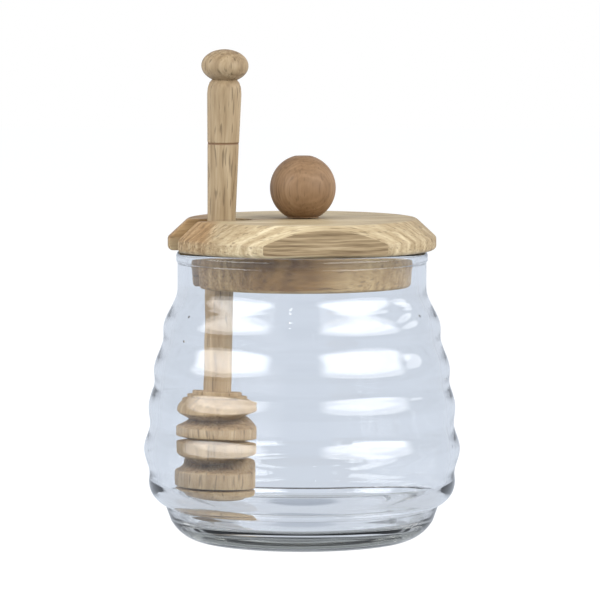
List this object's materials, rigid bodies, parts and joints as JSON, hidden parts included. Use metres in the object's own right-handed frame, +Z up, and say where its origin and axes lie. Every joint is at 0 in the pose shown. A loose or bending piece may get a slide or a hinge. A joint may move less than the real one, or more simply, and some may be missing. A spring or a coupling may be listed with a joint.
{
  "type": "honey pot with dipper",
  "caption": "Empty clear glass honey jar with beehive rings, a chamfered slotted wooden lid with a ball knob, and a turned wooden honey dipper standing in it.",
  "frame": {"origin": "middle of the jar's foot, on the surface it stands on", "axes": "+Z up along the jar's axis, -Y towards the front that the picture shows, the dipper on the -X side"},
  "size_m": [0.111, 0.111, 0.1713],
  "materials": {
    "clear_glass": "gloss",
    "lid_wood": "satin",
    "knob_wood": "satin",
    "dipper_wood": "satin"
  },
  "bodies": {
    "root": {"glass_jar": "clear_glass", "lid": "lid_wood", "knob": "knob_wood", "dipper": "dipper_wood"}
  },
  "joints": []
}
